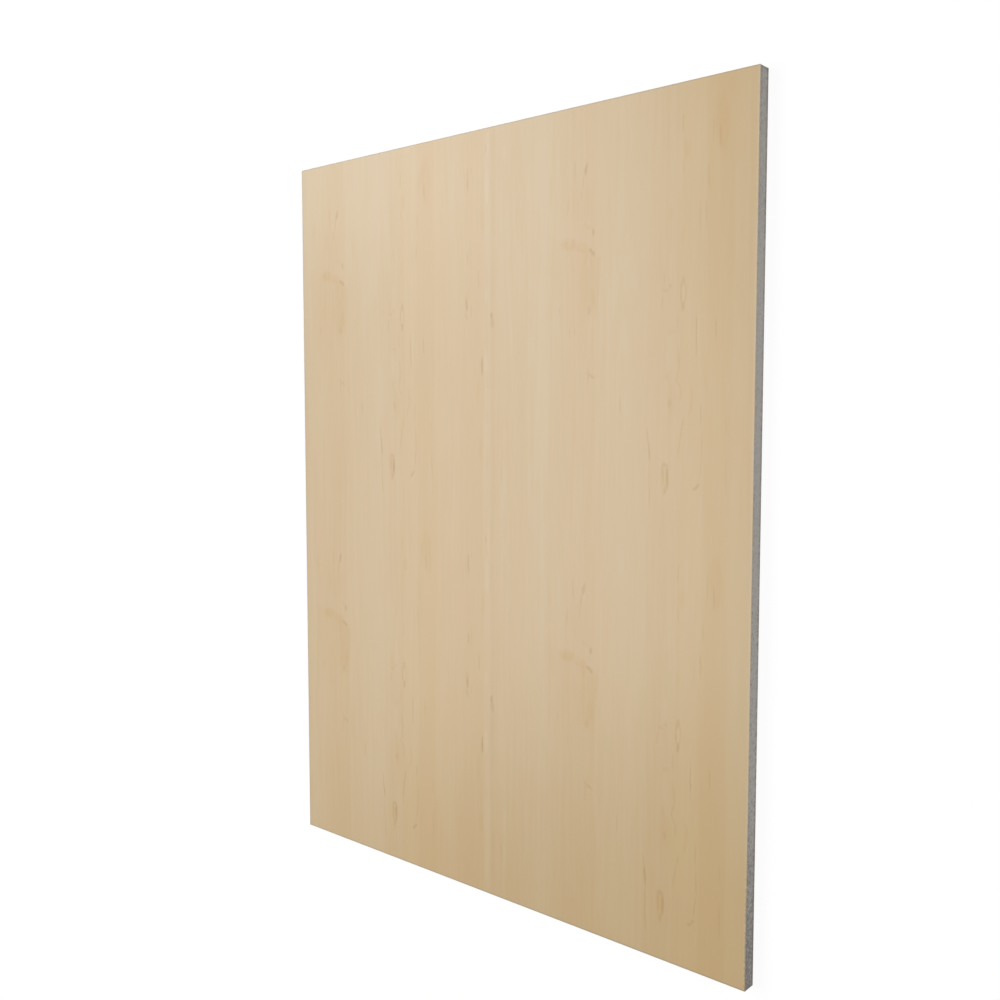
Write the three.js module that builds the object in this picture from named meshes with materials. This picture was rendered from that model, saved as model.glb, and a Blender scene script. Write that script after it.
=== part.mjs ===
// Maple plywood sheet: one rectangular panel, sawn square on all four sides.
// It lies flat on its back with the maple face up. Millimetres, +Z up. X runs across the
// sheet and Y along it, the way the grain runs. The origin is at the middle of the underside.

import * as THREE from "three";

// Stock size
const sheetWidth = 914.4; // 3 ft, across the grain
const sheetLength = 1219.2; // 4 ft, along the grain
const sheetThickness = 22.225; // 7/8 in

// Where the saw cuts meet
const cornerRadius = 1; // the four upright corners, rubbed over by handling
const arrisRadius = 0.5; // the arrises round both faces, eased with fine sandpaper
const cornerFacets = 6; // flats that make up the round of an upright corner
const arrisFacets = 4; // flats that make up the round of an arris

// The clear maple face and back, and the grey sealed edge all round.
const mapleFinish = new THREE.MeshStandardMaterial({
  color: 0xd8c3a3,
  roughness: 0.45,
  metalness: 0,
});
const edgeFinish = new THREE.MeshStandardMaterial({
  color: 0x96938e,
  roughness: 0.8,
  metalness: 0,
});

// A rectangle about the origin whose corners are arcs.
function roundedRectangle(width, length, radius) {
  const right = width / 2 - radius;
  const top = length / 2 - radius;
  const quarterTurn = Math.PI / 2;
  return new THREE.Shape()
    .absarc(right, top, radius, 0, quarterTurn)
    .absarc(-right, top, radius, quarterTurn, 2 * quarterTurn)
    .absarc(-right, -top, radius, 2 * quarterTurn, 3 * quarterTurn)
    .absarc(right, -top, radius, 3 * quarterTurn, 4 * quarterTurn)
    .closePath();
}

// The whole sheet is one solid. Its outline is pushed up through the thickness, and a round
// bevel that stays inside that outline eases the arrises at the bottom and at the top.
function makeSheet() {
  const outline = roundedRectangle(sheetWidth, sheetLength, cornerRadius);
  const body = new THREE.ExtrudeGeometry(outline, {
    depth: sheetThickness - 2 * arrisRadius,
    curveSegments: cornerFacets / 2, // an arc is drawn with two flats for each segment
    bevelThickness: arrisRadius,
    bevelSize: arrisRadius,
    bevelOffset: -arrisRadius,
    bevelSegments: arrisFacets,
  });
  const sheet = new THREE.Mesh(body, [mapleFinish, edgeFinish]);
  sheet.name = "plywood_sheet";
  sheet.position.z = arrisRadius; // stands the lower bevel on the floor
  return sheet;
}

const plywoodSheet = new THREE.Group();
plywoodSheet.add(makeSheet());

export default plywoodSheet;
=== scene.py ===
import math
from collections import namedtuple

import bpy
from mathutils import Matrix, Vector, noise


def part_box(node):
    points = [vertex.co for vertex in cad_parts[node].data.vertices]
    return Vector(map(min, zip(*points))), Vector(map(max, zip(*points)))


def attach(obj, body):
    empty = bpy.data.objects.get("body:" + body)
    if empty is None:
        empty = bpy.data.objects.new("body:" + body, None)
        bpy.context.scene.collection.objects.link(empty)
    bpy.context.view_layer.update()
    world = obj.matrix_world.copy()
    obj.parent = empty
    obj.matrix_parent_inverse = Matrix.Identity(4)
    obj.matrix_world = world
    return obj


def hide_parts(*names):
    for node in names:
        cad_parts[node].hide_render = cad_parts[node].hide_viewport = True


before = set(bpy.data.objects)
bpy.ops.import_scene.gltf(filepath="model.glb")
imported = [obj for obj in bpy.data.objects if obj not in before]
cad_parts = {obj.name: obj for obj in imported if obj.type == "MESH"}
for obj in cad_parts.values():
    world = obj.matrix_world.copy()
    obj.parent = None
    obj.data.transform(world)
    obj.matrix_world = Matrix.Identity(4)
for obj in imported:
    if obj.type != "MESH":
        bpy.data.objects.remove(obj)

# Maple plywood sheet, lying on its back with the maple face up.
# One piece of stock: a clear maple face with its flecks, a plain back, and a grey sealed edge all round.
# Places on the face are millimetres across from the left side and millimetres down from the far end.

MM = 0.001
QUARTER_TURN = math.radians(90)
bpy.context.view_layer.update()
SHEET_LOW, SHEET_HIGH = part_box("plywood_sheet")

# ---------------------------------------------------------------- the sheet's own sizes, millimetres
CORNER_RADIUS = 1.0  # the four upright corners
ARRIS_RADIUS = 0.5  # the arrises round both faces
CORNER_STEPS = 6
ARRIS_STEPS = 4
EDGE_ROW = 1.2  # height of one row of the edge's mesh
EDGE_COLUMN = 1.4  # length of one column of the edge's mesh
SHEET_WIDTH, SHEET_LENGTH, SHEET_THICKNESS = (SHEET_HIGH - SHEET_LOW) / MM
COLUMNS_PER_CELL = 16  # edge columns that meet one cell of a face's mesh
FACE_MARGIN = 14.0  # from the edge in to the even cells of a face
GRAIN_SIZE = 3.0  # across one grain of the sealer on the sawn edge
GRAIN_DEPTH = 0.12  # from the top of a grain to the hollow beside it
GRAIN_TOP = 0.15  # out from the middle of a grain to where it starts to fall, as a share of its size
GRAIN_SLOPE = 0.6  # from there to the hollow

# ---------------------------------------------------------------- how the face is laid up, millimetres
LEAF_WIDTH = 545.5  # the same figure comes back at each leaf of veneer
LEAF_LENGTH = 608.8
JOINT_ACROSS = SHEET_WIDTH / 2  # two lengths of veneer meet down the middle
LIP_ACROSS = JOINT_ACROSS - 2.6  # a thin pale lip on the left of the joint
LIP_SIDE = (2.6, 0.6)  # how far from its middle it starts, and how far it is full
SHADE_ACROSS = JOINT_ACROSS + 4.6  # a soft shade on the right of the joint
SHADE_SIDE = (6.0, 2.5)
SHADE_DEPTH = (0.04, 0.15)  # where it is faintest and where it is strongest

# A range runs from the place where something is nothing to the place where it is full.
HONEY_LEFT = (240.0, 264.0)  # across one leaf, a band leans to honey from here
HONEY_FULL = (366.0, 346.0)  # to here
HONEY_HALF = (452.0, 436.0)  # and half as much to here
KNEE_TOP = (163.0, 173.0)  # down one leaf, the tan patch under the knee starts here
KNEE_TOP_SLOPE = 0.4  # and lower on its right
KNEE_RIGHT = (136.5, 130.5)  # across one leaf, the patch stops here
KNEE_RIGHT_SLOPE = 0.05  # and sooner on its near side
KNEE_NEAR_LEFT = (80.0, 100.0)
KNEE_NEAR_FOOT = (312.0, 282.0)
KNEE_BROAD_LEFT = (20.0, 34.0)
KNEE_BROAD_FOOT = (365.0, 245.0)

# Rubbed and dirty places, places that are only darker or paler, and painted shade, millimetres
ARRIS_DARK = (3.4, 1.2)  # in from the left side and the ends of the face
ARRIS_FAR_SET = 0.7  # the far end's line is narrower by this
ARRIS_RUBBED = (4.0, 1.4)  # in from the right side of the face
ARRIS_RAGGED = (2.4, 0.8)  # in from the right side, where it is worn
ARRIS_RAGGEDNESS = 8.0
ARRIS_WORN = (980.0, 1150.0)  # down the sheet
GREY_MARGIN = (46.0, 6.0)  # in from the left side, the face is a little greyer
PALE_MARGIN = (62.0, 20.0)  # in from the right side, it is handled paler
HANDLED_START = (560.0, 780.0)  # down the sheet, most of all from here
HANDLED_END = (1130.0, 960.0)  # to here
PALED_LEFT = (560.0, 700.0)  # across the sheet, the right half has paled a little from here
PALED_RIGHT = (895.0, 850.0)  # to here
DARKER_FAR_END = (270.0, 150.0)  # down the sheet, the edge is a little darker up to the far end
GRIT_RANGE = (560.0, 740.0)  # down the sheet, the sealer is smooth to here and gritty from here
WEAR_START = 900.0  # from here to the near end, which it stands on, the edge is more and more rubbed
UNDERSIDE_SHADE = (6.5, 3.2)  # up from the underside, a dark line on the edge: painted shade where the edge meets the floor
HIGH_LINE = (7.5, 4.0)  # down from the face, a fainter line
CORNER_LINE = (6.0, 3.0)  # from an upright corner, a dark line

BAND_WANDER_REACH = 14.0  # how far the bands wander from side to side
RAGGED_ACROSS_REACH = 4.0  # how ragged a mark is across the grain
RAGGED_DOWN_REACH = 8.0  # and along it
FIBRE_RELIEF = 0.05
GRIT_RELIEF = 0.15

# Smooth noise: how large its lumps are across and along the grain, millimetres, how much finer
# detail it has, and its seed.
Lumps = namedtuple("Lumps", "across along detail seed")
SLOW_TONE = Lumps(60.0, 300.0, 2.0, 1.0)
STREAKS = Lumps(7.0, 170.0, 3.0, 2.0)
FIBRES = Lumps(1.2, 40.0, 3.0, 3.0)
PORES = Lumps(0.45, 5.0, 1.0, 4.0)
RAGGED_ACROSS = Lumps(6.0, 22.0, 2.0, 5.0)
RAGGED_DOWN = Lumps(2.0, 20.0, 2.0, 6.0)
BAND_WANDER = Lumps(40.0, 160.0, 2.0, 7.0)
UMBER_PATCHES = Lumps(50.0, 70.0, 2.0, 8.0)
HAIRS = Lumps(2.4, 34.0, 1.0, 9.0)
BLUSH = Lumps(38.0, 110.0, 3.0, 10.0)
JOINT_STRENGTH = Lumps(90.0, 90.0, 2.0, 14.0)
ARRIS_TEARS = Lumps(4.0, 5.0, 2.0, 15.0)
BACK_SLOW_TONE = Lumps(90.0, 600.0, 2.0, 11.0)
BACK_STREAKS = Lumps(9.0, 300.0, 3.0, 12.0)
BACK_FIBRES = Lumps(1.1, 45.0, 3.0, 13.0)
GRIT = Lumps(3.4, 3.4, 3.0, 21.0)
SEALER_CLOUDS = Lumps(40.0, 40.0, 2.0, 22.0)
SEALER_LINES = Lumps(220.0, 3.2, 2.0, 23.0)
DIRT = Lumps(5.0, 5.0, 2.0, 24.0)
GRIT_ROUGHNESS = 0.65
SPECK_SPACING = 2.0  # between the pale specks that there could be
SPECK_CHANCE = (0.990, 0.995)  # few of them are there

# ---------------------------------------------------------------- how much of each thing shows
# On the face's tone, 0 pale to 1 tan
SLOW_TONE_SHARE = 1.15
STREAKS_SHARE = 1.45
FIBRES_SHARE = 0.85

# The grain breaks up every mark: how strong it is, and what the fibres and the streaks do to it
MARK_STRENGTH = 1.12
MARK_FIBRES = 1.7
MARK_STREAKS = 0.9

# From the noise that nothing shows at to the noise that all of it shows at
PIT_RANGE = (0.14, 0.26)
UMBER_RANGE = (-0.12, 0.12)
HAIR_RANGE = (0.16, 0.34)
ROSY_RANGE = (0.0, 0.25)
OLIVE_RANGE = (0.0, -0.25)
SHADE_RANGE = (-0.2, 0.2)
DIRT_RANGE = (0.0, 0.2)

# How deep each colour goes over the one under it
HONEY_DEPTH = 0.10
BLUSH_DEPTH = 0.35
HAIR_DEPTH = 0.16
PIT_DEPTH = 0.10
LIP_DEPTH = 0.10
KNEE_NEAR_DEPTH = 0.11
KNEE_BROAD_DEPTH = 0.08
HANDLED_DEPTH = 0.08
HANDLED_MORE = 0.20
PALED_DEPTH = 0.07
GREY_MARGIN_DEPTH = 0.04
RUBBED_DEPTH = 0.50
RAGGED_DEPTH = 0.60
ARRIS_DARK_DEPTH = 0.42
DIRT_DEPTH = 0.6
SPECK_DEPTH = 0.6

# On the back's tone
BACK_MIDDLE = 0.5
BACK_SLOW_TONE_SHARE = 1.6
BACK_STREAKS_SHARE = 1.5

# On the sealed edge's tone, which runs from the sealer's grey to its hollows' grey
SEALER_TONE = (-0.17, 1.10)
SEALER_LINES_SHARE = 0.30
SEALER_CLOUDS_SHARE = 0.36
GRIT_SHARE = 1.9
GRIT_MORE = 1.5  # where it is gritty
GRIT_WORN_MORE = 0.3
HOLLOW_MIDDLE = 0.4
HOLLOW_SHARE = 0.7
WORN_SHARE = 0.27
WORN_MORE = 0.40  # and this much more at the near end
DARKER_FAR_SHARE = 0.20
# The next is how dark the painted shade along the underside is
UNDERSIDE_SHADE_SHARE = 0.42
HIGH_LINE_SHARE = 0.15
CORNER_LINE_SHARE = 0.30

# Roughness and relief
FACE_ROUGHNESS = 0.346
BACK_ROUGHNESS = 0.42
EDGE_ROUGHNESS = 0.78
FIBRES_ROUGHER = 0.06
PITS_ROUGHER = 0.10
GRIT_ROUGHER = 0.20
FACE_BUMP = 0.25
FACE_BUMP_SHARE = 0.5  # of the fibres, and of the pits against them
BACK_BUMP = 0.3
EDGE_BUMP = 0.6

# ---------------------------------------------------------------- colours, linear
MAPLE_PALE = (0.548, 0.4025, 0.218)
MAPLE_TAN = (0.530, 0.364, 0.178)
MAPLE_ROSY = (0.560, 0.362, 0.196)
MAPLE_OLIVE = (0.515, 0.388, 0.180)
MAPLE_HONEY = (0.565, 0.372, 0.140)
SAPWOOD_CREAM = (0.565, 0.445, 0.264)
JOINT_PALE = (0.655, 0.466, 0.236)
JOINT_SHADE = (0.400, 0.260, 0.095)
SHADOW_TAN = (0.484, 0.274, 0.058)
FLECK_BROWN = (0.398, 0.210, 0.023)
FLECK_UMBER = (0.310, 0.175, 0.040)
ARRIS_BROWN = (0.270, 0.195, 0.120)
ARRIS_GREY = (0.250, 0.225, 0.165)
ARRIS_PALE = (0.560, 0.460, 0.310)
BACK_PALE = (0.535, 0.390, 0.200)
BACK_TAN = (0.500, 0.340, 0.155)
SEALER_GREY = (0.389, 0.367, 0.337)
SEALER_HOLLOW = (0.166, 0.153, 0.140)
SEALER_SPECK = (0.62, 0.61, 0.58)
EDGE_DIRT = (0.250, 0.195, 0.155)

# A mark of the figure: its width, its depth from 0 to 1, and the points that it runs through.
Mark = namedtuple("Mark", "width depth points")
STROKE_REACH = 1.3  # how far past its ends a stroke fades to nothing, in its own half lengths
STROKE_HEART = 0.6  # how far in from its rim, as a share, it is at its full depth
STROKE_LAP = 0.2  # how far strokes lap where a mark bends, as a share of their length

FLECKS = (
    Mark(7.5, 0.34, ((98, 82), (94, 101))),
    Mark(5.0, 0.19, ((92, 98), (90, 120))),
    Mark(6.5, 0.32, ((109, 176), (110, 187))),
    Mark(8.0, 0.35, ((101, 206), (107, 209), (113, 215))),
    Mark(10.0, 0.15, ((103, 285), (103, 300))),
    Mark(6.0, 0.46, ((237, 512), (238, 546))),
    Mark(6.0, 0.15, ((229, 510), (231, 540))),
    Mark(6.0, 0.20, ((236, 540), (233, 555))),
    Mark(5.0, 0.36, ((206, 478), (209, 511))),
    Mark(8.0, 0.24, ((229, 512), (240, 513))),
    Mark(5.5, 0.46, ((407, 261), (408, 281))),
    Mark(6.0, 0.22, ((405, 280), (409, 294))),
    Mark(6.5, 0.40, ((460, 282), (460, 296))),
    Mark(12.0, 0.22, ((461, 292), (462, 309))),
    Mark(5.5, 0.44, ((440, 351), (440, 382))),
    Mark(5.5, 0.27, ((410, 55), (410, 93))),
    Mark(5.5, 0.19, ((410, 185), (410, 206))),
    Mark(5.0, 0.20, ((101, 376), (101, 396))),
    Mark(6.0, 0.22, ((103, 384), (114, 391))),
    Mark(9.0, 0.14, ((240, 420), (240, 434))),
    Mark(9.0, 0.09, ((236, 385), (237, 399))),
    Mark(6.0, 0.27, ((288, 536), (284, 541), (278, 547))),
    Mark(5.0, 0.18, ((448, 24), (448, 38))),
    Mark(9.0, 0.14, ((226, 272), (236, 275))),
    Mark(6.0, 0.13, ((239, 265), (240, 271))),
)
HAIRLINES = (
    Mark(3.0, 0.28, ((280, 308), (281, 368))),
    Mark(3.0, 0.20, ((158, 418), (158, 444))),
    Mark(4.0, 0.17, ((263, 448), (259, 466), (254, 500))),
    Mark(3.5, 0.15, ((252, 348), (255, 378), (250, 396), (258, 409), (257, 426))),
    Mark(3.0, 0.20, ((290, 425), (289, 457))),
    Mark(3.0, 0.20, ((291, 460), (292, 500), (288, 530))),
    Mark(3.0, 0.22, ((204, 462), (206, 484))),
    Mark(3.5, 0.18, ((208, 508), (208, 545), (210, 577))),
    Mark(3.0, 0.20, ((310, 313), (311, 348))),
    Mark(3.0, 0.12, ((100, 392), (100, 413))),
    Mark(4.0, 0.12, ((229, 248), (230, 270))),
    Mark(3.5, 0.16, ((227, 279), (226, 301))),
    Mark(3.5, 0.18, ((257, 38), (257, 67))),
    Mark(3.0, 0.13, ((257, 98), (259, 123))),
    Mark(3.0, 0.12, ((252, 305), (251, 332))),
    Mark(3.5, 0.20, ((313, 64), (314, 95))),
    Mark(3.0, 0.16, ((303, 46), (303, 92))),
    Mark(4.0, 0.14, ((296, 112), (298, 147))),
    Mark(4.0, 0.14, ((294, 158), (294, 193))),
    Mark(3.0, 0.12, ((284, 160), (285, 206))),
    Mark(3.5, 0.14, ((328, 498), (329, 549))),
    Mark(3.0, 0.14, ((327, 448), (328, 471))),
    Mark(4.0, 0.13, ((48, 284), (48, 299))),
    Mark(7.0, 0.05, ((61, 186), (61, 203))),
    Mark(6.0, 0.05, ((73, 187), (73, 201))),
    Mark(3.5, 0.13, ((68, 315), (68, 331))),
    Mark(3.0, 0.12, ((76, 315), (76, 329))),
    Mark(4.0, 0.15, ((76, 74), (77, 113))),
    Mark(4.5, 0.13, ((66, 121), (63, 153))),
    Mark(4.0, 0.15, ((88, 118), (88, 136))),
    Mark(3.5, 0.14, ((417, 54), (417, 66))),
    Mark(3.0, 0.12, ((404, 58), (404, 94))),
    Mark(3.5, 0.16, ((418, 267), (416, 290))),
    Mark(4.5, 0.16, ((432, 214), (434, 247))),
    Mark(3.0, 0.14, ((416, 176), (417, 216))),
    Mark(3.0, 0.14, ((480, 512), (481, 552))),
)
SHADOWS = (
    Mark(25.0, 0.22, ((50, 194), (84, 197))),
    Mark(21.0, 0.19, ((74, 197), (106, 207))),
    Mark(9.0, 0.13, ((92, 168), (108, 178))),
    Mark(16.0, 0.12, ((109, 260), (109, 287))),
    Mark(12.0, 0.10, ((98, 212), (98, 226))),
    Mark(56.0, 0.06, ((86, 112), (86, 164))),
    Mark(15.0, 0.16, ((232, 508), (233, 554))),
    Mark(11.0, 0.24, ((407, 251), (407, 270))),
    Mark(24.0, 0.12, ((240, 396), (246, 448))),
    Mark(8.0, 0.14, ((274, 401), (276, 421), (271, 447))),
    Mark(16.0, 0.14, ((264, 76), (264, 101))),
    Mark(8.0, 0.12, ((234, 333), (247, 331))),
    Mark(10.0, 0.14, ((440, 116), (442, 160))),
    Mark(12.0, 0.12, ((433, 385), (430, 430))),
    Mark(10.0, 0.12, ((437, 478), (437, 515))),
    Mark(9.0, 0.10, ((259, 186), (259, 214))),
    Mark(10.0, 0.10, ((240, 164), (239, 182))),
    Mark(12.0, 0.10, ((32, 92), (32, 128))),
    Mark(30.0, 0.19, ((314, 22), (318, 100))),
    Mark(14.0, 0.08, ((120, 362), (128, 420))),
)
EYE = (  # a long thin loop, darker at both ends
    Mark(8.0, 0.20, ((260, 256), (260, 270))),
    Mark(3.4, 0.23, ((258, 262), (256, 276), (257, 293))),
    Mark(3.4, 0.18, ((263, 264), (264, 280), (262, 294))),
    Mark(6.5, 0.31, ((260, 289), (260, 304))),
)
CREAM_STREAKS = (
    Mark(7.0, 0.20, ((452, 6), (452, 48))),
    Mark(12.0, 0.36, ((450, 62), (450, 120))),
    Mark(11.0, 0.10, ((450, 130), (450, 216))),
    Mark(10.0, 0.34, ((448, 341), (449, 380))),
    Mark(11.0, 0.20, ((449, 386), (450, 440))),
    Mark(11.0, 0.20, ((449, 450), (449, 515))),
    Mark(11.0, 0.12, ((450, 530), (450, 598))),
    Mark(10.0, 0.22, ((449, 242), (449, 270))),
    Mark(8.0, 0.20, ((239, 224), (240, 264))),
    Mark(14.0, 0.14, ((239, 336), (240, 383))),
    Mark(9.0, 0.14, ((487, 30), (487, 58))),
    Mark(10.0, 0.16, ((487, 460), (487, 502))),
    Mark(10.0, 0.14, ((487, 516), (487, 562))),
    Mark(4.0, 0.16, ((284, 305), (284, 366))),
    Mark(3.5, 0.20, ((260, 268), (260, 290))),
    Mark(6.0, 0.14, ((100, 214), (100, 230))),
    Mark(5.0, 0.12, ((157, 318), (157, 376))),
)

# The straight bands of one leaf: where each is, millimetres across, and its tone, 0 pale to 1 tan.
BANDS = (
    (0, 0.37), (18, 0.12), (31, 0.46), (46, 0.46), (56, 0.58), (80, 0.68), (111, 0.74), (120, 0.36),
    (148, 0.29), (160, 0.13), (200, 0.12), (214, 0.45), (236, 0.62), (247, 0.47), (257, 0.60),
    (270, 0.31), (291, 0.38), (299, 0.90), (329, 0.98), (340, 0.44), (375, 0.69), (408, 0.96),
    (437, 0.95), (446, 0.46), (470, 0.75), (480, 0.49), (500, 0.66), (520, 0.62), (545.5, 0.37),
)

# A Mix node's sockets share their names, so its colours and its result go by number.
MIX_FIRST, MIX_SECOND, MIX_RESULT = 6, 7, 2


class Signal:
    """What one socket gives. Sums and products of signals add the nodes that work them out."""

    def __init__(self, tree, socket):
        self.tree = tree
        self.socket = socket

    def combined(self, operation, *others):
        vectors = "VECTOR" in [s.socket.type for s in (self, *others) if isinstance(s, Signal)]
        kind = "VectorMath" if vectors else "Math"
        sockets = {}
        for place, other in enumerate((self, *others)):
            sockets[place] = (other,) * 3 if vectors and isinstance(other, (int, float)) else other
        return self.tree.node(kind, {"operation": operation}, sockets)

    def __add__(self, other):
        return self.combined("ADD", other)

    __radd__ = __add__

    def __sub__(self, other):
        return self.combined("SUBTRACT", other)

    def __rsub__(self, other):
        return self * -1 + other

    def __mul__(self, other):
        return self.combined("MULTIPLY", other)

    __rmul__ = __mul__

    def __truediv__(self, other):
        return self.combined("DIVIDE", other)

    def __mod__(self, other):
        return self.combined("FLOORED_MODULO", other)

    def unsigned(self):
        return self.combined("ABSOLUTE")

    def larger(self, other):
        return self.combined("MAXIMUM", other)

    def smaller(self, other):
        return self.combined("MINIMUM", other)


class Tree:
    """The nodes of one material or of the world, added one at a time."""

    def __init__(self, owner):
        owner.use_nodes = True
        self.nodes = owner.node_tree.nodes
        self.links = owner.node_tree.links
        self.nodes.clear()

    def node(self, kind, settings=None, sockets=None, output=0):
        """Adds a node: its settings first, then the value or link of each socket."""
        made = self.nodes.new("ShaderNode" + kind)
        for name, setting in (settings or {}).items():
            if name == "stops":
                place_stops(made.color_ramp, setting)
            else:
                setattr(made, name, setting)
        for name, given in (sockets or {}).items():
            if isinstance(given, Signal):
                self.links.new(given.socket, made.inputs[name])
            else:
                made.inputs[name].default_value = given
        return Signal(self, made.outputs[output] if made.outputs else None)

    def mixed(self, factor, first, second):
        """A colour between two colours."""
        sockets = {0: factor, MIX_FIRST: opaque(first), MIX_SECOND: opaque(second)}
        return self.node("Mix", {"data_type": "RGBA"}, sockets, MIX_RESULT)

    def eased(self, signal, start, end, low=0.0, high=1.0):
        """Goes smoothly from low to high as the signal goes from start to end."""
        return self.node(
            "MapRange", {"interpolation_type": "SMOOTHSTEP"},
            {"Value": signal, "From Min": start, "From Max": end, "To Min": low, "To Max": high},
        )

    def clouds(self, place, lumps, roughness=0.5):
        """Smooth noise round 0."""
        found = self.node(
            "TexNoise", {"noise_dimensions": "4D"},
            {"Vector": place / (lumps.across, lumps.along, lumps.along), "W": lumps.seed,
             "Scale": 1.0, "Detail": lumps.detail, "Roughness": roughness},
        )
        return found - 0.5

    def mound(self, place, middle, half, turn=0.0):
        """1 at the middle of an ellipse, falling evenly to 0 at its rim."""
        local = self.node(
            "Mapping", {"vector_type": "TEXTURE"},
            {"Vector": place, "Location": (*middle, 0), "Rotation": (0, 0, -turn), "Scale": (*half, 1)},
        )
        return self.node("TexGradient", {"gradient_type": "SPHERICAL"}, {0: local}, output="Fac")


def opaque(colour):
    """A colour as a socket takes it."""
    return colour if isinstance(colour, Signal) else (*colour, 1.0)


def place_stops(ramp, stops):
    """Gives a colour ramp its stops, each a place from 0 to 1 and a grey tone."""
    ramp.interpolation = "EASE"
    while len(ramp.elements) < len(stops):
        ramp.elements.new(0.5)
    for element, (place, tone) in zip(ramp.elements, stops):
        element.position = place
        element.color = (tone, tone, tone, 1.0)


# ---------------------------------------------------------------- finishes
def face_places(tree):
    """Millimetres across and down the face."""
    here = tree.node("TexCoord", output="Object")
    x = tree.node("SeparateXYZ", None, {0: here}, output="X")
    y = tree.node("SeparateXYZ", None, {0: here}, output="Y")
    return (x - SHEET_LOW.x) / MM, (SHEET_HIGH.y - y) / MM


def stroke_mask(tree, place, start, end, width, depth):
    """A soft ellipse from start to end, as strong as its depth."""
    run = end - start
    middle = (start + end) / 2
    half = (width / 2, run.length / 2 * STROKE_REACH)
    return tree.eased(tree.mound(place, middle, half, math.atan2(run.x, run.y)), 0, STROKE_HEART, 0, depth)


def figure_mask(tree, place, marks):
    """All the marks together. Where a mark bends, its strokes lap over each other."""
    joined = None
    for mark in marks:
        points = [Vector(point) for point in mark.points]
        last = len(points) - 2
        for number, (start, end) in enumerate(zip(points, points[1:])):
            lap = (end - start) * STROKE_LAP
            start = start - lap if number > 0 else start
            end = end + lap if number < last else end
            stroke = stroke_mask(tree, place, start, end, mark.width, mark.depth)
            joined = joined.larger(stroke) if joined else stroke
    return joined


def maple_face():
    """The clear maple face: straight bands, flecks and a knee, laid up from like leaves."""
    material = bpy.data.materials.new("maple_face")
    tree = Tree(material)
    across, down = face_places(tree)
    flat = tree.node("CombineXYZ", None, {0: across, 1: down})
    leaf_across = across % LEAF_WIDTH
    leaf_down = down % LEAF_LENGTH

    slow = tree.clouds(flat, SLOW_TONE)
    streaks = tree.clouds(flat, STREAKS)
    fibres = tree.clouds(flat, FIBRES)
    pits = tree.eased(tree.clouds(flat, PORES), *PIT_RANGE)

    stops = [(place / LEAF_WIDTH, tone) for place, tone in BANDS]
    wandered = leaf_across + tree.clouds(flat, BAND_WANDER) * BAND_WANDER_REACH
    bands = tree.node("ValToRGB", {"stops": stops}, {0: wandered / LEAF_WIDTH})
    tone = tree.node("RGBToBW", None, {0: bands}) + slow * SLOW_TONE_SHARE
    tone = tone + streaks * STREAKS_SHARE + fibres * FIBRES_SHARE
    colour = tree.mixed(tone, MAPLE_PALE, MAPLE_TAN)
    colour = blushed(tree, colour, flat)
    honey = tree.eased(leaf_across, *HONEY_FULL) + tree.eased(leaf_across, *HONEY_HALF)
    honey = honey * tree.eased(leaf_across, *HONEY_LEFT)
    colour = tree.mixed(honey * HONEY_DEPTH, colour, MAPLE_HONEY)

    ragged_across = leaf_across + tree.clouds(flat, RAGGED_ACROSS) * RAGGED_ACROSS_REACH
    ragged_down = leaf_down + tree.clouds(flat, RAGGED_DOWN) * RAGGED_DOWN_REACH
    place = tree.node("CombineXYZ", None, {0: ragged_across, 1: ragged_down})
    grained = MARK_STRENGTH + fibres * MARK_FIBRES + streaks * MARK_STREAKS
    shadows = figure_mask(tree, place, SHADOWS) + knee_patch(tree, ragged_across, ragged_down)
    colour = tree.mixed(shadows * grained, colour, SHADOW_TAN)
    colour = tree.mixed(figure_mask(tree, place, CREAM_STREAKS) * grained, colour, SAPWOOD_CREAM)
    colour = joint(tree, colour, across, down)

    umber = tree.eased(tree.clouds(flat, UMBER_PATCHES), *UMBER_RANGE)
    brown = tree.mixed(umber, FLECK_BROWN, FLECK_UMBER)
    flecks = figure_mask(tree, place, FLECKS + HAIRLINES + EYE)
    colour = tree.mixed(flecks * grained, colour, brown)
    hairs = tree.eased(tree.clouds(flat, HAIRS), *HAIR_RANGE)
    colour = tree.mixed(hairs * HAIR_DEPTH, colour, brown)
    colour = tree.mixed(pits * PIT_DEPTH, colour, brown)
    colour = margins(tree, colour, across, down)
    colour = arrises(tree, colour, flat, across, down)

    relief = fibres * FACE_BUMP_SHARE - pits * FACE_BUMP_SHARE
    roughness = FACE_ROUGHNESS + fibres * FIBRES_ROUGHER + pits * PITS_ROUGHER
    surface(tree, colour, roughness, bumped(tree, FACE_BUMP, FIBRE_RELIEF, relief))
    return material


def blushed(tree, colour, flat):
    """Slow patches that lean a little to rose or to olive."""
    blush = tree.clouds(flat, BLUSH)
    colour = tree.mixed(tree.eased(blush, *ROSY_RANGE) * BLUSH_DEPTH, colour, MAPLE_ROSY)
    return tree.mixed(tree.eased(blush, *OLIVE_RANGE) * BLUSH_DEPTH, colour, MAPLE_OLIVE)


def joint(tree, colour, across, down):
    """The joint down the middle: a thin pale lip, and right of it a shade that comes and goes."""
    lip = tree.eased((across - LIP_ACROSS).unsigned(), *LIP_SIDE)
    shade = tree.eased((across - SHADE_ACROSS).unsigned(), *SHADE_SIDE)
    length = tree.node("CombineXYZ", None, {1: down})
    depth = tree.eased(tree.clouds(length, JOINT_STRENGTH), *SHADE_RANGE, *SHADE_DEPTH)
    colour = tree.mixed(lip * LIP_DEPTH, colour, JOINT_PALE)
    return tree.mixed(shade * depth, colour, JOINT_SHADE)


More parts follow.
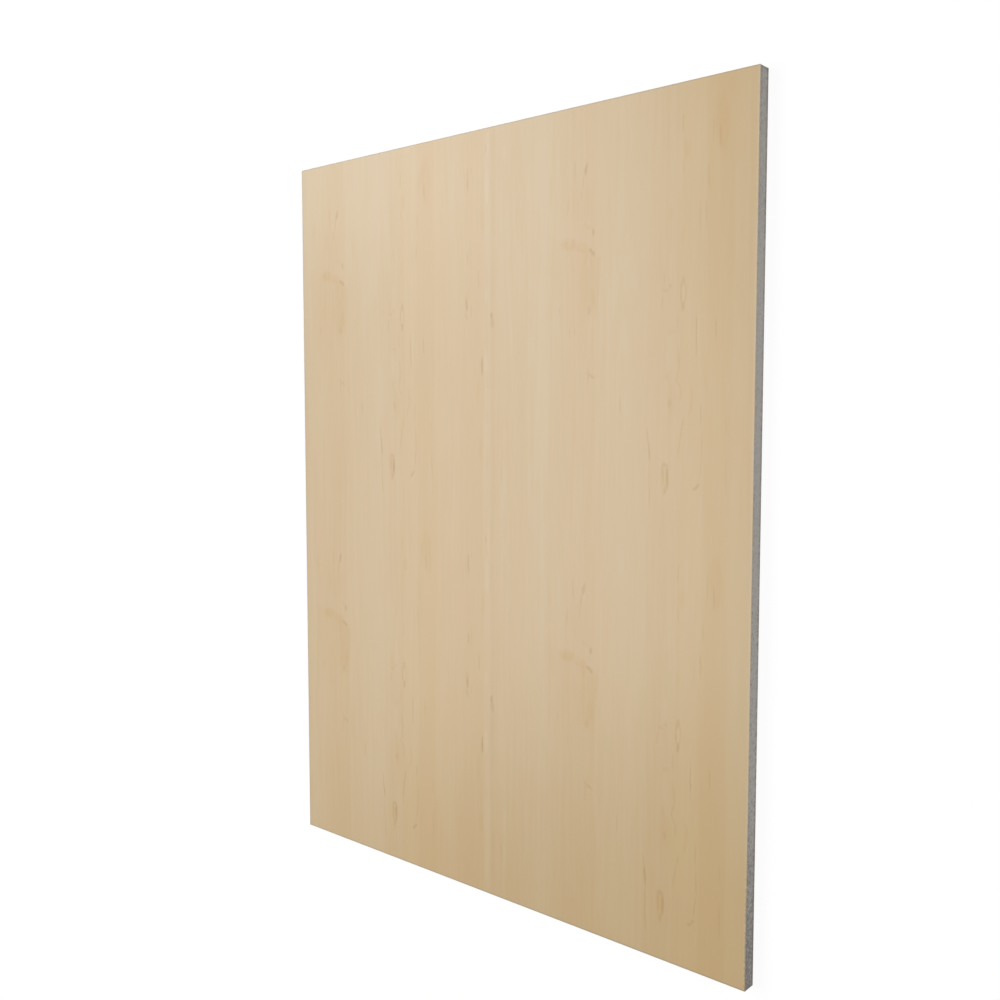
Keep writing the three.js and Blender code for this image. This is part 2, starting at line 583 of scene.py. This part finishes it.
def knee_patch(tree, across, down):
    """The tan patch under the knee: its right side leans and is fairly sharp, its left side fades."""
    under = tree.eased(down - across * KNEE_TOP_SLOPE, *KNEE_TOP)
    right = tree.eased(across + down * KNEE_RIGHT_SLOPE, *KNEE_RIGHT)
    near = tree.eased(across, *KNEE_NEAR_LEFT) * tree.eased(down, *KNEE_NEAR_FOOT)
    broad = tree.eased(across, *KNEE_BROAD_LEFT) * tree.eased(down, *KNEE_BROAD_FOOT)
    return (near * KNEE_NEAR_DEPTH + broad * KNEE_BROAD_DEPTH) * under * right


def margins(tree, colour, across, down):
    """The face is a little greyer down its left side, and paler down its right side and right half."""
    handled = tree.eased(down, *HANDLED_START) * tree.eased(down, *HANDLED_END)
    handled = handled * HANDLED_MORE + HANDLED_DEPTH
    pale = tree.eased(SHEET_WIDTH - across, *PALE_MARGIN) * handled
    colour = tree.mixed(pale, colour, SAPWOOD_CREAM)
    paled = tree.eased(across, *PALED_LEFT) * tree.eased(across, *PALED_RIGHT)
    colour = tree.mixed(paled * PALED_DEPTH, colour, JOINT_PALE)
    return tree.mixed(tree.eased(across, *GREY_MARGIN) * GREY_MARGIN_DEPTH, colour, ARRIS_GREY)


def arrises(tree, colour, flat, across, down):
    """Grey on the left and at both ends. The right one is rubbed pale, and ragged where it is worn."""
    right = SHEET_WIDTH - across
    nearest = across.smaller(down + ARRIS_FAR_SET).smaller(SHEET_LENGTH - down)
    torn = right + tree.clouds(flat, ARRIS_TEARS) * ARRIS_RAGGEDNESS
    ragged = tree.eased(torn, *ARRIS_RAGGED) * tree.eased(down, *ARRIS_WORN)
    colour = tree.mixed(tree.eased(right, *ARRIS_RUBBED) * RUBBED_DEPTH, colour, ARRIS_PALE)
    colour = tree.mixed(ragged * RAGGED_DEPTH, colour, ARRIS_BROWN)
    return tree.mixed(tree.eased(nearest, *ARRIS_DARK) * ARRIS_DARK_DEPTH, colour, ARRIS_GREY)


def maple_back():
    """The plain back: the same maple without figure."""
    material = bpy.data.materials.new("maple_back")
    tree = Tree(material)
    across, down = face_places(tree)
    flat = tree.node("CombineXYZ", None, {0: across, 1: down})
    slow = tree.clouds(flat, BACK_SLOW_TONE)
    streaks = tree.clouds(flat, BACK_STREAKS)
    fibres = tree.clouds(flat, BACK_FIBRES)
    tone = BACK_MIDDLE + slow * BACK_SLOW_TONE_SHARE + streaks * BACK_STREAKS_SHARE + fibres
    colour = tree.mixed(tone, BACK_PALE, BACK_TAN)
    roughness = BACK_ROUGHNESS + fibres * FIBRES_ROUGHER
    surface(tree, colour, roughness, bumped(tree, BACK_BUMP, FIBRE_RELIEF, fibres))
    return material


def sealed_edge():
    """The grey sealer on the sawn edge: faintly lined, then gritty, and dark and dirty where it is worn."""
    material = bpy.data.materials.new("sealed_edge")
    tree = Tree(material)
    here = tree.node("TexCoord", output="Object") / MM
    x = tree.node("SeparateXYZ", None, {0: here}, output="X")
    y = tree.node("SeparateXYZ", None, {0: here}, output="Y")
    height = tree.node("SeparateXYZ", None, {0: here}, output="Z")
    down = SHEET_HIGH.y / MM - y
    gritty = tree.eased(down, *GRIT_RANGE)
    worn = ((down - WEAR_START) / (SHEET_LENGTH - WEAR_START)).larger(0)

    along = tree.node("CombineXYZ", None, {0: x + y, 1: height})
    grit = tree.clouds(here, GRIT, GRIT_ROUGHNESS)
    hollow = tree.node("Attribute", {"attribute_name": "hollow"}, output="Fac")
    tone = tree.clouds(along, SEALER_LINES) * SEALER_LINES_SHARE
    tone = tone + tree.clouds(here, SEALER_CLOUDS) * SEALER_CLOUDS_SHARE
    tone = tone + grit * (GRIT_SHARE + gritty * GRIT_MORE + worn * GRIT_WORN_MORE)
    tone = tone + (hollow - HOLLOW_MIDDLE) * worn * HOLLOW_SHARE
    tone = tone + worn * (WORN_SHARE + worn * WORN_MORE) + tree.eased(down, *DARKER_FAR_END) * DARKER_FAR_SHARE
    tone = tone + edge_lines(tree, x, y, height)
    colour = tree.mixed(tree.eased(tone, *SEALER_TONE), SEALER_GREY, SEALER_HOLLOW)
    dirt = tree.eased(tree.clouds(here, DIRT), *DIRT_RANGE)
    colour = tree.mixed(dirt * worn * DIRT_DEPTH, colour, EDGE_DIRT)

    cells = tree.node("TexVoronoi", None, {"Vector": here, "Scale": 1 / SPECK_SPACING}, output="Color")
    chance = tree.node("SeparateXYZ", None, {0: cells}, output="X")
    colour = tree.mixed(tree.eased(chance, *SPECK_CHANCE) * worn * SPECK_DEPTH, colour, SEALER_SPECK)
    roughness = EDGE_ROUGHNESS + grit * GRIT_ROUGHER
    surface(tree, colour, roughness, bumped(tree, EDGE_BUMP, GRIT_RELIEF, grit))
    return material


def edge_lines(tree, x, y, height):
    """A dark line along the lower arris, which is painted shade where the edge meets the floor, a dark line
    down each upright corner, and a fainter one beside the face.
    """
    # painted shade along the lower arris, where the edge meets the floor
    low = tree.eased(height - SHEET_LOW.z / MM, *UNDERSIDE_SHADE)
    high = tree.eased(SHEET_HIGH.z / MM - height, *HIGH_LINE)
    corner = (SHEET_WIDTH + SHEET_LENGTH) / 2 - x.unsigned() - y.unsigned()
    lines = low * UNDERSIDE_SHADE_SHARE + high * HIGH_LINE_SHARE
    return lines + tree.eased(corner, *CORNER_LINE) * CORNER_LINE_SHARE


def bumped(tree, strength, relief, height):
    """The normal of a surface that stands up by its relief, in millimetres."""
    return tree.node("Bump", None, {"Strength": strength, "Distance": relief * MM, "Height": height})


def surface(tree, colour, roughness, normal):
    """Puts one finish together."""
    shader = tree.node(
        "BsdfPrincipled", None,
        {"Base Color": colour, "Roughness": roughness, "Normal": normal},
    )
    tree.node("OutputMaterial", None, {0: shader})


# ---------------------------------------------------------------- the sheet's mesh
Column = namedtuple("Column", "point outward anchor")
FACE, EDGE, BACK = 0, 1, 2  # the order of the mesh's materials


def outline_columns(cells):
    """The columns round the edge, anticlockwise seen from above, each with the face cell corner it meets."""
    low, high = SHEET_LOW.xy, SHEET_HIGH.xy
    radius = CORNER_RADIUS * MM
    corners = (Vector((high.x, low.y)), high, Vector((low.x, high.y)), low)
    columns = []
    anchor = 0
    for turn, corner in enumerate(corners):
        quarter = Matrix.Rotation(QUARTER_TURN * turn, 2)
        centre = corner + quarter @ Vector((-1, 1)) * radius
        for step in range(CORNER_STEPS + 1):
            angle = QUARTER_TURN * step / CORNER_STEPS
            outward = quarter @ Vector((math.sin(angle), -math.cos(angle)))
            columns.append(Column(centre + outward * radius, outward, anchor))
        following = corners[(turn + 1) % 4]
        along = (following - corner).normalized()
        first = centre + outward * radius
        length = (following - corner).length - 2 * radius
        count = cells[(turn + 1) % 2] * COLUMNS_PER_CELL
        for step in range(1, count):
            met = anchor + round(step / COLUMNS_PER_CELL)
            columns.append(Column(first + along * length * step / count, outward, met))
        anchor += cells[(turn + 1) % 2]
    return columns, anchor


def section_rows():
    """The edge's section from the underside up: how far in, how high and how much it may be grained."""
    arris = []
    for step in range(ARRIS_STEPS + 1):
        angle = QUARTER_TURN * step / ARRIS_STEPS
        arris.append((ARRIS_RADIUS * (1 - math.sin(angle)), ARRIS_RADIUS * (1 - math.cos(angle)), 0.0))
    count = round((SHEET_THICKNESS - 2 * ARRIS_RADIUS) / EDGE_ROW)
    sawn = []
    for step in range(1, count):
        sawn.append((0.0, ARRIS_RADIUS + (SHEET_THICKNESS - 2 * ARRIS_RADIUS) * step / count, 1.0))
    top = [(inset, SHEET_THICKNESS - height, share) for inset, height, share in reversed(arris)]
    return arris + sawn + top


def hollow_at(point):
    """How deep the sealed edge is hollowed at a point, from 0 on a grain to 1 between grains."""
    nearest = noise.voronoi(point / (GRAIN_SIZE * MM))[0]
    return min(1.0, max(0.0, (nearest[0] - GRAIN_TOP) / GRAIN_SLOPE))


def sheet_mesh():
    """One closed mesh: the grained edge, two eased arrises and two faces."""
    cell = EDGE_COLUMN * COLUMNS_PER_CELL
    cells = (round(SHEET_WIDTH / cell), round(SHEET_LENGTH / cell))
    columns, ring = outline_columns(cells)
    rows = section_rows()
    points, hollows, faces, finishes = [], [], [], []

    for inset, height, share in rows:
        for column in columns:
            flat = column.point - column.outward * inset * MM
            point = Vector((*flat, SHEET_LOW.z + height * MM))
            hollow = hollow_at(point) * share
            point -= Vector((*column.outward, 0)) * hollow * GRAIN_DEPTH * MM
            points.append(point)
            hollows.append(hollow)
    around = len(columns)
    for row in range(len(rows) - 1):
        finish = BACK if row < ARRIS_STEPS else FACE if row >= len(rows) - 1 - ARRIS_STEPS else EDGE
        for here in range(around):
            there = (here + 1) % around
            faces.append((row * around + here, row * around + there,
                          (row + 1) * around + there, (row + 1) * around + here))
            finishes.append(finish)

    for top in (False, True):
        border = (len(rows) - 1) * around if top else 0
        added, ends = face_mesh(cells, ring, len(points), border, columns, top)
        points += added
        hollows += [0.0] * len(added)
        faces += ends
        finishes += [FACE if top else BACK] * len(ends)

    mesh = bpy.data.meshes.new("maple_sheet")
    mesh.from_pydata(points, [], faces)
    attribute = mesh.attributes.new("hollow", "FLOAT", "POINT")
    attribute.data.foreach_set("value", hollows)
    sides = (len(rows) - 1) * around
    mesh.polygons.foreach_set("use_smooth", [index < sides for index in range(len(faces))])
    for material in (maple_face(), sealed_edge(), maple_back()):
        mesh.materials.append(material)
    mesh.polygons.foreach_set("material_index", finishes)
    mesh.validate()
    mesh.update()
    return mesh


def face_mesh(cells, ring, first, border, columns, top):
    """The even cells of one face, and the strip that joins them to the fine columns of the edge."""
    across, along = cells
    margin = FACE_MARGIN * MM
    low = SHEET_LOW + Vector((margin, margin, 0))
    high = SHEET_HIGH - Vector((margin, margin, 0))
    height = SHEET_HIGH.z if top else SHEET_LOW.z

    def corner(column, row):
        return first + row * (across + 1) + column

    points, faces = [], []
    for row in range(along + 1):
        for column in range(across + 1):
            x = low.x + (high.x - low.x) * column / across
            y = low.y + (high.y - low.y) * row / along
            points.append(Vector((x, y, height)))
    for row in range(along):
        for column in range(across):
            faces.append((corner(column, row), corner(column + 1, row),
                          corner(column + 1, row + 1), corner(column, row + 1)))
    walk = [corner(across, row) for row in range(along)]
    walk += [corner(across - column, along) for column in range(across)]
    walk += [corner(0, along - row) for row in range(along)]
    walk += [corner(column, 0) for column in range(across)]
    for here, column in enumerate(columns):
        there = (here + 1) % len(columns)
        near = walk[column.anchor % ring]
        far = walk[columns[there].anchor % ring]
        strip = (border + here, border + there, far, near)
        faces.append(strip if near != far else strip[:3])
    return points, faces if top else [face[::-1] for face in faces]


def make_sheet():
    """The one piece: it stands for the CAD's sheet and rides on its body."""
    sheet = bpy.data.objects.new("maple_sheet", sheet_mesh())
    bpy.context.scene.collection.objects.link(sheet)
    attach(sheet, "root")
    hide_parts("plywood_sheet")


# ---------------------------------------------------------------- floor, light and camera
FLOOR_GAP = 0.3 * MM
FLOOR_SIZE = 30.0
FLOOR_FADE = (3.0, 10.0)  # out from the middle of the sheet, it fades into the white behind it
FLOOR_SHOWN = 0.933  # what the floor shows of itself
FLOOR_LIT = 0.08  # what it takes from the light, so that a shadow still shows
SKY_LEVEL = 0.30
BOUNCE_LEVEL = 0.70  # light that comes back up from the pale floor
HORIZON = (-0.05, 0.05)  # the floor's glow gives way to the sky

CAMERA_PLACE = (1.12695, 0.16405, 1.29809)
CAMERA_AIM = (0.01771, 0.04184, 0.01905)
CAMERA_LENS = 38.8725
SENSOR_WIDTH = 36.0
CAMERA_SHIFT_UP = -0.00567

Softbox = namedtuple("Softbox", "name place width height radiance")
SOFTBOXES = (
    Softbox("softbox_side", (-4.0, -0.7, 5.5), 3.5, 3.6, 4.8),
    Softbox("softbox_end", (-5.0, 2.5, 5.5), 2.8, 3.3, 7.0),
    Softbox("softbox_fill", (3.4, 1.0, 1.6), 1.4, 1.4, 4.5),
)


def seen_directly(tree):
    """1 for the camera and for reflections, 0 for light that falls on the sheet."""
    camera = tree.node("LightPath", output="Is Camera Ray")
    glossy = tree.node("LightPath", output="Is Glossy Ray")
    passed = tree.node("LightPath", output="Is Transmission Ray")
    return camera.larger(glossy).larger(passed)


def make_floor():
    """A pale floor that shows white, keeps the sheet's shadow and is clear from below."""
    mesh = bpy.data.meshes.new("floor")
    half = FLOOR_SIZE / 2
    level = SHEET_LOW.z - FLOOR_GAP
    corners = [(-half, -half, level), (half, -half, level), (half, half, level), (-half, half, level)]
    mesh.from_pydata(corners, [], [(0, 1, 2, 3)])
    material = bpy.data.materials.new("pale_floor")
    tree = Tree(material)
    glow = tree.node("Emission", None, {"Color": (1, 1, 1, 1), "Strength": FLOOR_SHOWN})
    lit = tree.node("BsdfDiffuse", None, {"Color": (FLOOR_LIT,) * 3 + (1,)})
    shown = tree.node("AddShader", None, {0: glow, 1: lit})
    clear = tree.node("BsdfTransparent")
    under = tree.node("NewGeometry", output="Backfacing")
    here = tree.node("TexCoord", output="Object")
    distance = tree.node("VectorMath", {"operation": "LENGTH"}, {0: here}, output="Value")
    unseen = under.larger(tree.eased(distance, *FLOOR_FADE))
    mix = tree.node("MixShader", None, {0: unseen, 1: shown, 2: clear})
    tree.node("OutputMaterial", None, {0: mix})
    mesh.materials.append(material)
    floor = bpy.data.objects.new("floor", mesh)
    floor.visible_diffuse = False
    floor.visible_shadow = False
    bpy.context.scene.collection.objects.link(floor)


def make_light():
    """A soft grey sky, the floor's glow from below, and softboxes past the left side and on the right."""
    world = bpy.data.worlds.new("studio")
    bpy.context.scene.world = world
    tree = Tree(world)
    toward = tree.node("TexCoord", output="Generated")
    height = tree.node("SeparateXYZ", None, {0: toward}, output="Z")
    level = tree.eased(height, *HORIZON, BOUNCE_LEVEL, SKY_LEVEL)
    seen = seen_directly(tree)
    strength = level * (1 - seen) + seen
    shown = tree.node("Background", None, {"Color": (1, 1, 1, 1), "Strength": strength})
    tree.node("OutputWorld", None, {0: shown})
    for softbox in SOFTBOXES:
        lamp = bpy.data.lights.new(softbox.name, "AREA")
        lamp.shape = "RECTANGLE"
        lamp.size = softbox.width
        lamp.size_y = softbox.height
        lamp.energy = math.pi * softbox.width * softbox.height * softbox.radiance
        holder = bpy.data.objects.new(softbox.name, lamp)
        holder.location = softbox.place
        holder.rotation_euler = (-Vector(softbox.place)).to_track_quat("-Z", "Y").to_euler()
        holder.visible_camera = False
        bpy.context.scene.collection.objects.link(holder)


def make_camera():
    """Looks down across the sheet from its right side, with the far end up."""
    lens = bpy.data.cameras.new("camera")
    lens.lens = CAMERA_LENS
    lens.sensor_width = SENSOR_WIDTH
    lens.shift_y = CAMERA_SHIFT_UP
    camera = bpy.data.objects.new("camera", lens)
    place = Vector(CAMERA_PLACE)
    back = (place - Vector(CAMERA_AIM)).normalized()
    right = Vector((0, 1, 0)).cross(back).normalized()
    up = back.cross(right)
    turned = Matrix((right, up, back)).transposed().to_4x4()
    camera.matrix_world = Matrix.Translation(place) @ turned
    bpy.context.scene.collection.objects.link(camera)
    bpy.context.scene.camera = camera


make_camera()
make_light()
make_floor()
make_sheet()
bpy.context.scene.view_settings.view_transform = "Standard"
